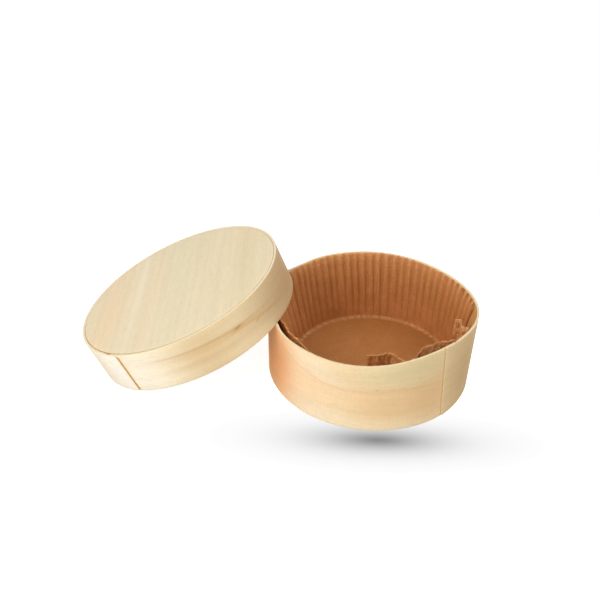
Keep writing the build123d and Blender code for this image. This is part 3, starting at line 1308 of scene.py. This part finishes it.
@dataclass
class Studio:
    """The white table, the soft lamps and the camera at the photograph's place."""

    camera_at: tuple[float, float, float] = (-17.03 * MM, -393.62 * MM, 303.89 * MM)
    heading: float = 93.171
    pitch: float = -33.774
    roll: float = 1.715
    lens: float = 53.11
    sky: float = 0.50
    table_tint: str = "#EDEDED"
    table_glow: float = 0.74
    table_radius: float = 3.0
    lit_reach: tuple[float, float] = (0.16, 0.30)
    under_lid_x: tuple[float, float] = (-0.05, -0.07)
    lit_middle: tuple[float, float, float] = (-0.03, -0.02, 0.0)
    lamps_face: tuple[float, float, float] = (-0.045, 0.0, 0.03)
    shade_at: tuple[float, float, float] = (0.0058, -0.0615, 0.0)
    shade_size: tuple[float, float, float] = (0.0334, 0.0091, 1.0)
    shade_depth: float = 0.73
    bounce_at: tuple[float, float, float] = (-0.082, -0.012, 0.0)
    bounce_reach: float = 0.045
    bounce: float = 0.8

    def aim_camera(self) -> None:
        """Places the camera and makes it the scene's own."""
        data = bpy.data.cameras.new("camera")
        data.lens, data.sensor_width = self.lens, 36.0
        data.clip_start, data.clip_end = 0.01, 20.0
        camera = bpy.data.objects.new("camera", data)
        bpy.context.scene.collection.objects.link(camera)
        heading = Matrix.Rotation(math.radians(self.heading - 90), 4, "Z")
        pitch = Matrix.Rotation(math.radians(90 + self.pitch), 4, "X")
        roll = Matrix.Rotation(math.radians(self.roll), 4, "Z")
        camera.matrix_world = Matrix.Translation(self.camera_at) @ heading @ pitch @ roll
        bpy.context.scene.camera = camera

    def dress_table(self) -> Finish:
        """Builds the table's white.

        It is lit near the box, plain white further off and under the lid, and holds the
        photograph's soft shade. Unseen by the camera, it throws light up under the lid.

        Returns:
            The material.
        """
        material = bpy.data.materials.new("white_table")
        material.use_nodes = True
        nodes = Nodes(material.node_tree)
        place = nodes.read("ShaderNodeTexCoord", "Object")
        # Painted shadow: the soft grey ellipse in front of the tray is laid on the table, not cast by the
        # lamps.
        inputs = {"Vector": place, "Location": self.shade_at, "Scale": self.shade_size}
        inputs["Rotation"] = (0, 0, math.radians(self.heading - 90))
        soft = nodes.add("ShaderNodeMapping", {"vector_type": "TEXTURE"}, inputs).outputs[0]
        far = nodes.math("POWER", nodes.vector("LENGTH", soft, output="Value"), 1.5)
        shade = nodes.math("EXPONENT", nodes.math("MULTIPLY", far, -1.0))
        grey = nodes.shader("Emission", WHITE, nodes.remap(shade, least=1.0, most=1 - self.shade_depth))
        matt = nodes.shader("BsdfDiffuse", self.table_tint, 0.5)
        lit = nodes.shader("AddShader", matt, nodes.shader("Emission", WHITE, self.table_glow))
        away = nodes.eased(nodes.vector("DISTANCE", place, self.lit_middle, output="Value"), *self.lit_reach)
        # Under the lid the table fades to plain white, which paints out most of the lid's shadow.
        under_lid = nodes.eased(nodes.parts(place)["X"], *self.under_lid_x, most=0.8)
        fade = nodes.math("MAXIMUM", away, under_lid)
        seen = nodes.shader("MixShader", fade, lit, nodes.shader("Emission", WHITE, 1.0))
        seen = nodes.shader("MixShader", nodes.eased(shade, 0.0, 0.02), seen, grey)
        # Painted light: near the lid's foot the table glows for rays other than the camera's, lighting the
        # tray's side under the lid.
        near = nodes.vector("DISTANCE", place, self.bounce_at, output="Value")
        thrown = nodes.eased(near, self.bounce_reach, 0.0, most=self.bounce)
        unseen = nodes.shader("AddShader", matt, nodes.shader("Emission", WHITE, thrown))
        surface = nodes.shader("MixShader", nodes.seen_straight(), unseen, seen)
        nodes.add("ShaderNodeOutputMaterial", inputs={"Surface": surface})
        return material

    def lay_table(self) -> None:
        """Lays the round white table top under the box."""
        bm = bmesh.new()
        bmesh.ops.create_circle(bm, cap_ends=True, segments=96, radius=self.table_radius)
        mesh = bpy.data.meshes.new("table_top")
        bm.to_mesh(mesh)
        bm.free()
        mesh.materials.append(self.dress_table())
        new_object("table_top", mesh)

    def hang_lamp(
        self, name: str, bearing: float, elevation: float, distance: float, size: float, power: float
    ) -> None:
        """Hangs one square soft box that faces the box.

        Args:
            name: The lamp's name.
            bearing: Its direction from the tray, in degrees from +X.
            elevation: Its height above the horizon, in degrees.
            distance: Its distance in metres.
            size: Its side in metres.
            power: Its power in watts.
        """
        data = bpy.data.lights.new(name, "AREA")
        data.shape, data.size, data.energy = "SQUARE", size, power
        lamp = bpy.data.objects.new(name, data)
        bpy.context.scene.collection.objects.link(lamp)
        a, e = math.radians(bearing), math.radians(elevation)
        back = Vector((math.cos(a) * math.cos(e), math.sin(a) * math.cos(e), math.sin(e)))
        turn = back.to_track_quat("Z", "Y").to_matrix().to_4x4()
        lamp.matrix_world = Matrix.Translation(Vector(self.lamps_face) + back * distance) @ turn

    def light_sky(self, strength: float) -> None:
        """Fills the room with even white light, seen as white.

        Args:
            strength: The strength that falls on the box.
        """
        world = bpy.data.worlds.new("white_room")
        bpy.context.scene.world = world
        world.use_nodes = True
        nodes = Nodes(world.node_tree)
        fill, seen = (nodes.shader("Background", WHITE, level) for level in (strength, 1.0))
        mixed = nodes.shader("MixShader", nodes.seen_straight(), fill, seen)
        nodes.add("ShaderNodeOutputWorld", inputs={"Surface": mixed})

    def build(self) -> None:
        """Sets up the camera, the table and the light."""
        bpy.context.scene.view_settings.view_transform = "Standard"
        self.aim_camera()
        self.lay_table()
        self.light_sky(self.sky)
        self.hang_lamp("key_box", bearing=-122.0, elevation=41.0, distance=0.95, size=0.60, power=5.9)
        self.hang_lamp("right_box", bearing=26.0, elevation=52.0, distance=1.0, size=0.8, power=4.1)


@dataclass
class CheeseBox:
    """The whole box: the tray, the lid and the liner, each on its own body."""

    rim_spring: Spring = Spring(
        (
            Lobe(1, 2.3 * MM, 236.0),
            Lobe(2, 1.2 * MM, 21.0),
            Lobe(3, 1.0 * MM, 12.0),
            Lobe(4, 1.0 * MM, 81.0),
            Lobe(0, 0.7 * MM, -138.0, width=11.0),
            Lobe(0, -0.65 * MM, -152.5, width=5.0),
            Lobe(0, -1.2 * MM, -171.0, width=11.0),
            Lobe(0, -1.7 * MM, 142.0, width=13.0),
        )
    )
    lid_spring: Spring = Spring((Lobe(0, 0.45 * MM, 0.0), Lobe(1, 0.45 * MM, 135.0)))
    skirt_spring: Spring = Spring((Lobe(0, -0.2 * MM, 0.0), Lobe(1, -0.3 * MM, 215.0)))
    lid_chips: tuple[Chip, ...] = (
        Chip(234.0, 2.6 * MM, 0.35 * MM),
        Chip(238.5, 2.0 * MM, 0.30 * MM),
        Chip(230.0, 1.4 * MM, 0.25 * MM),
    )
    back_edge: tuple[Stand, ...] = Stand.rows(
        (0.0, 0.1, -0.3), (12.0, 0.1, -0.4), (30.0, 0.1, -0.6), (50.0, 0.1, -0.7),
        (75.0, 0.0, -1.0), (96.0, 0.15, -1.0), (117.0, 0.18, -1.0), (130.0, 0.0, -1.0),
        (160.0, 0.1, -0.7),
    )
    left_edge: tuple[Stand, ...] = Stand.rows(
        (-175.0, 0.2, -0.4), (-163.0, 1.2, -0.8), (-155.0, 2.0, -1.0), (-151.5, 2.9, -0.6),
        (-149.5, 2.3, -1.0), (-146.0, 3.1, -0.5), (-143.5, 2.3, -0.9), (-140.5, 3.2, -0.4),
        (-138.0, 2.6, -0.9), (-134.5, 3.3, -0.5), (-131.5, 2.1, -0.7), (-128.5, 2.0, 0.0),
        (-125.5, 1.1, -0.2), (-122.0, 1.2, 0.5), (-117.0, 0.6, 0.9),
    )
    front_edge: tuple[Stand, ...] = Stand.rows(
        (-97.0, 0.5, 1.2), (-72.0, 0.4, 0.5), (-65.0, 1.6, 0.4), (-60.0, 4.2, 0.3),
        (-56.0, 5.6, 0.2), (-52.0, 5.9, 0.2), (-46.0, 5.2, 0.2), (-41.0, 4.3, 0.2),
        (-37.0, 2.8, 0.5), (-30.0, 0.9, 0.5), (-22.0, 0.3, 0.0), (-12.0, 0.1, -0.3),
    )
    tongue: Flap = Flap(
        -19.5, -8.0, 0.30, 0.68, folds=((49.4, -17.8), (45.8, -16.3), (46.2, -11.0), (42.8, -11.2))
    )
    front_flap: Flap = Flap(-70.0, -91.5, 0.35, 0.80, reach=(-0.9, 10.4), bend=0.47)
    # Streaks, tones and pin knots of the tray's wood, among them broad patches of painted light and painted
    # shade, each noted above its row.
    tray_marks_and_painted_light: tuple[Streak, ...] = Streak.rows(
        (303.0, 20.5, 44.0, 5.5, "#E9AE74", 0.36, -2.0, -2.0),
        (300.0, 26.2, 42.0, 1.5, "#DFA066", 0.34, -3.0, -4.0),
        (274.0, 28.8, 24.0, 0.7, "#DE9854", 0.55, -6.0, 2.4),
        (270.0, 27.9, 20.0, 2.4, "#EDB27A", 0.34, -5.6, 2.4),
        (328.0, 24.6, 20.0, 0.7, "#D89A5E", 0.40, -2.6),
        (304.0, 12.0, 40.0, 2.2, "#E3B27A", 0.30, -0.8),
        # Painted shade and warm bounced light on the tray's left under the lid: this row and the next.
        (236.0, 20.0, 17.0, 34.0, "#F29A44", 0.86),
        (251.0, 18.0, 11.0, 24.0, "#F09448", 0.60),
        # Darker towards the right: partly wood tone, partly painted shade on the side turned from the key
        # lamp.
        (338.0, 22.0, 22.0, 40.0, "#D0A060", 0.56),
        # Paler where the key lamp falls: partly wood tone, partly painted light, in this row and the next
        # two.
        (266.0, 20.0, 13.0, 26.0, "#FFDCB2", 0.50),
        (279.0, 33.0, 16.0, 7.0, "#FAECD2", 0.60, -4.0),
        (279.0, 5.0, 20.0, 7.0, "#F8E6CA", 0.66),
        (304.0, 1.0, 46.0, 3.5, "#F6E6C8", 0.50),
        # More painted shade and warm bounced light on the tray's left, under the lid.
        (251.0, 30.0, 10.0, 13.0, "#DE9A5C", 0.58),
        (294.0, 32.0, 26.0, 4.5, "#DDB880", 0.40, -1.0),
        (308.0, 15.0, 14.0, 10.0, "#DDB47A", 0.36),
        (325.0, 36.0, 28.0, 10.0, "#DACB98", 0.66),
        # Painted shade on the tray's right side, turned away from the key lamp.
        (21.0, 20.0, 28.0, 44.0, "#B79052", 0.82),
        (306.6, 26.9, 0.9, 0.14, "#8C6236", 0.8),
        (330.0, 30.2, 1.3, 0.13, "#A87C4C", 0.7),
        (286.0, 14.5, 1.6, 0.13, "#B5834F", 0.6),
    )
    # Streaks and pin knots of the lid's wood, with broad patches of painted light and shade on its skirt,
    # noted above their rows.
    lid_marks_and_painted_light: tuple[Streak, ...] = Streak.rows(
        (312.0, 15.8, 36.0, 0.75, "#BC8440", 0.60, 1.9),
        (305.0, 13.6, 34.0, 2.0, "#DDB070", 0.50, 1.4),
        (272.0, 10.4, 15.0, 0.9, "#B87C38", 0.36, 2.6),
        (318.0, 8.4, 30.0, 1.8, "#D8B078", 0.40, 0.8),
        (290.0, 14.2, 1.8, 0.45, "#8A4A18", 0.95, -0.2),
        (290.5, 13.6, 4.5, 1.2, "#C98E4C", 0.50),
        (278.2, 10.1, 1.4, 0.30, "#9C6430", 0.70, -0.2),
        # Darker tan on the skirt's side turned from the key lamp: partly wood tone, partly painted shade, in
        # this row and the next.
        (244.0, 12.0, 38.0, 30.0, "#BC9660", 0.84),
        (311.0, 10.0, 18.0, 22.0, "#D0AE78", 0.60),
        # Paler on the skirt's side that faces the key lamp: partly wood tone, partly painted light, in this
        # row and the next.
        (346.0, 10.0, 18.0, 26.0, "#FBF3E2", 0.70),
        (4.0, 12.0, 22.0, 30.0, "#FBF5EA", 0.85),
    )
    disc_marks: tuple[Streak, ...] = Streak.rows(
        (16.0, 26.0, 46.0, 2.4, "#EEE4CB", 0.35),
        (-4.0, 42.0, 52.0, 9.0, "#EBC79D", 0.45),
        (-20.0, 17.0, 60.0, 5.5, "#E7CDA8", 0.35),
        (18.0, 2.0, 60.0, 9.0, "#D9D3AC", 0.40),
        (20.0, -14.0, 60.0, 4.0, "#E0D0A8", 0.35),
        (5.0, -36.0, 60.0, 9.0, "#D9C397", 0.40),
    )

    def finishes(self) -> dict[str, Finish]:
        """Builds every finish once.

        Returns:
            The materials by their names.
        """
        tray_face = {"body": "#F1D7A9", "pale": "#F5E1BA", "warm": "#EAC392", "shift": 11.0}
        lid_face = {"body": "#EFD9AE", "pale": "#F4E3C0", "warm": "#E8C896", "shift": 140.0}
        disc_face = {"body": "#E0D0AE", "pale": "#E5D7BA", "warm": "#E6CAA2", "shift": 300.0}
        disc_face |= {"tone_length": 90.0, "tone_share": 0.2, "warm_share": 0.12}
        paper_back = {"body": "#B06F3D", "deep": "#A26231", "rubbed": "#CC9458", "pressed": "#A06932"}
        paper_back |= {"top": "#B2733C", "fluff": "#EEC28A"}
        dressings = (
            PoplarVeneer("poplar_veneer_tray", marks_and_painted_light=self.tray_marks_and_painted_light, **tray_face),
            PoplarVeneer("poplar_veneer_lid", marks_and_painted_light=self.lid_marks_and_painted_light, **lid_face),
            PoplarVeneer("poplar_veneer_disc", marks_and_painted_light=self.disc_marks, **disc_face),
            PoplarVeneer("poplar_veneer_base", grain_map=GrainMap.OBJECT, shift=420.0),
            CutEdge("tray_cut_edge"),
            CutEdge("lid_cut_edge", body="#E8DABA", shade="#DAC8A0"),
            CutEdge("disc_cut_edge", body="#E2CFA4", shade="#CDB283"),
            WoodGlue("amber_wood_glue"),
            WoodGlue("dark_amber_wood_glue", body="#DA9C4A", dark="#BE8036"),
            WoodGlue("brown_joint_glue", body="#B88A54", dark="#94683A"),
            GreaseproofPaper("brown_greaseproof_paper"),
            GreaseproofPaper("cut_greaseproof_paper", body="#AC6E40", deep="#9C6034"),
            GreaseproofPaper("back_of_greaseproof_paper", **paper_back),
        )
        return {dressing.name: dressing.build() for dressing in dressings}

    def dress(self, node: str, finish: Finish) -> None:
        """Gives a CAD node that stays as built its finish."""
        slots = frame["nodes"][node].data.materials
        slots.clear()
        slots.append(finish)
        LOG.info("kept %s", node)

    def hand_over(self, piece: bpy.types.Object, node: str, body: str) -> None:
        """Lets a modelled piece stand for its CAD node.

        Args:
            piece: The modelled piece.
            node: The CAD node that it stands for.
            body: The body that it moves with.
        """
        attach(piece, body)
        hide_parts(node)
        LOG.info("%s stands for %s: %d faces", piece.name, node, len(piece.data.polygons))

    def build_tray(self, finish: dict[str, Finish]) -> VeneerHoop:
        """Builds the tray's hoop and the glue in its lap.

        Args:
            finish: Every finish by its name.

        Returns:
            The tray's hoop.
        """
        ring = Ring.from_node("tray_hoop", Vector((0, 0, 1)))
        hoop = VeneerHoop(
            "tray_wall",
            ring,
            seam_angle=-45.9,
            turn=1,
            spring=self.rim_spring,
            seam_width=0.75 * MM,
            end_lean=-0.5 * MM,
            seed=1.0,
        )
        wall = hoop.build(finish["poplar_veneer_tray"], finish["tray_cut_edge"])
        self.hand_over(wall, "tray_hoop", "tray")
        glue = LapGlue("tray_seam_glue", hoop).build(finish["amber_wood_glue"])
        self.hand_over(glue, "tray_lap_glue", "tray")
        return hoop

    def build_lid(self, finish: dict[str, Finish]) -> None:
        """Builds the lid's hoop and disc and the glue in both joints.

        Args:
            finish: Every finish by its name.
        """
        axis = Vector(next(j["axis"] for j in frame["joints"] if j["name"] == "lid_lift"))
        hoop = VeneerHoop(
            "lid_wall",
            Ring.from_node("lid_hoop", axis),
            seam_angle=244.5,
            turn=-1,
            spring=self.lid_spring,
            open_spring=self.skirt_spring,
            seam_width=1.5 * MM,
            end_lean=1.2 * MM,
            rows=18,
            seed=5.0,
            closed_top=1.5 * MM,
            chips=self.lid_chips,
        )
        wall = hoop.build(finish["poplar_veneer_lid"], finish["lid_cut_edge"])
        self.hand_over(wall, "lid_hoop", "lid")
        glue = LapGlue("lid_seam_glue", hoop, rows=40).build(finish["dark_amber_wood_glue"])
        self.hand_over(glue, "lid_lap_glue", "lid")
        ring = Ring.from_node("lid_disc", axis)
        disc = VeneerDisc("lid_top", ring, self.lid_spring)
        top = disc.build(finish["poplar_veneer_disc"], finish["disc_cut_edge"])
        self.hand_over(top, "lid_disc", "lid")
        corner = CornerGlue("lid_corner_glue", hoop, ring).build(finish["brown_joint_glue"])
        self.hand_over(corner, "lid_disc_glue", "lid")

    def build_liner(self, finish: dict[str, Finish], tray: VeneerHoop) -> None:
        """Builds the paper liner inside the tray.

        Args:
            finish: Every finish by its name.
            tray: The tray's hoop.
        """
        low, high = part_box("paper_liner")
        liner = PaperLiner(
            "fluted_liner",
            mouth_radius=tray.skins[0] - 1.05 * MM,
            foot=low.z + 0.3 * MM,
            top=high.z,
            tray_height=tray.ring.height,
            spring=self.rim_spring,
            stands=self.back_edge + self.left_edge + self.front_edge,
            flaps=(self.tongue, self.front_flap),
            creases=(Crease(-82.0, 0.9),),
            tear_line=Tear(2.4, -24.0, outward=0.75, curl=0.2),
        )
        names = ("brown_greaseproof_paper", "cut_greaseproof_paper", "back_of_greaseproof_paper")
        self.hand_over(liner.build(*(finish[name] for name in names)), "paper_liner", "liner")

    def build(self) -> None:
        """Builds and dresses every piece."""
        finish = self.finishes()
        tray = self.build_tray(finish)
        self.build_lid(finish)
        self.dress("tray_base_glue", finish["amber_wood_glue"])
        self.dress("tray_base", finish["poplar_veneer_base"])
        self.build_liner(finish, tray)


def main() -> None:
    """Builds the box and its studio."""
    logging.basicConfig(level=logging.INFO)
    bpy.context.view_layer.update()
    CheeseBox().build()
    Studio().build()
    bpy.context.view_layer.update()


if __name__ == "__main__":
    main()
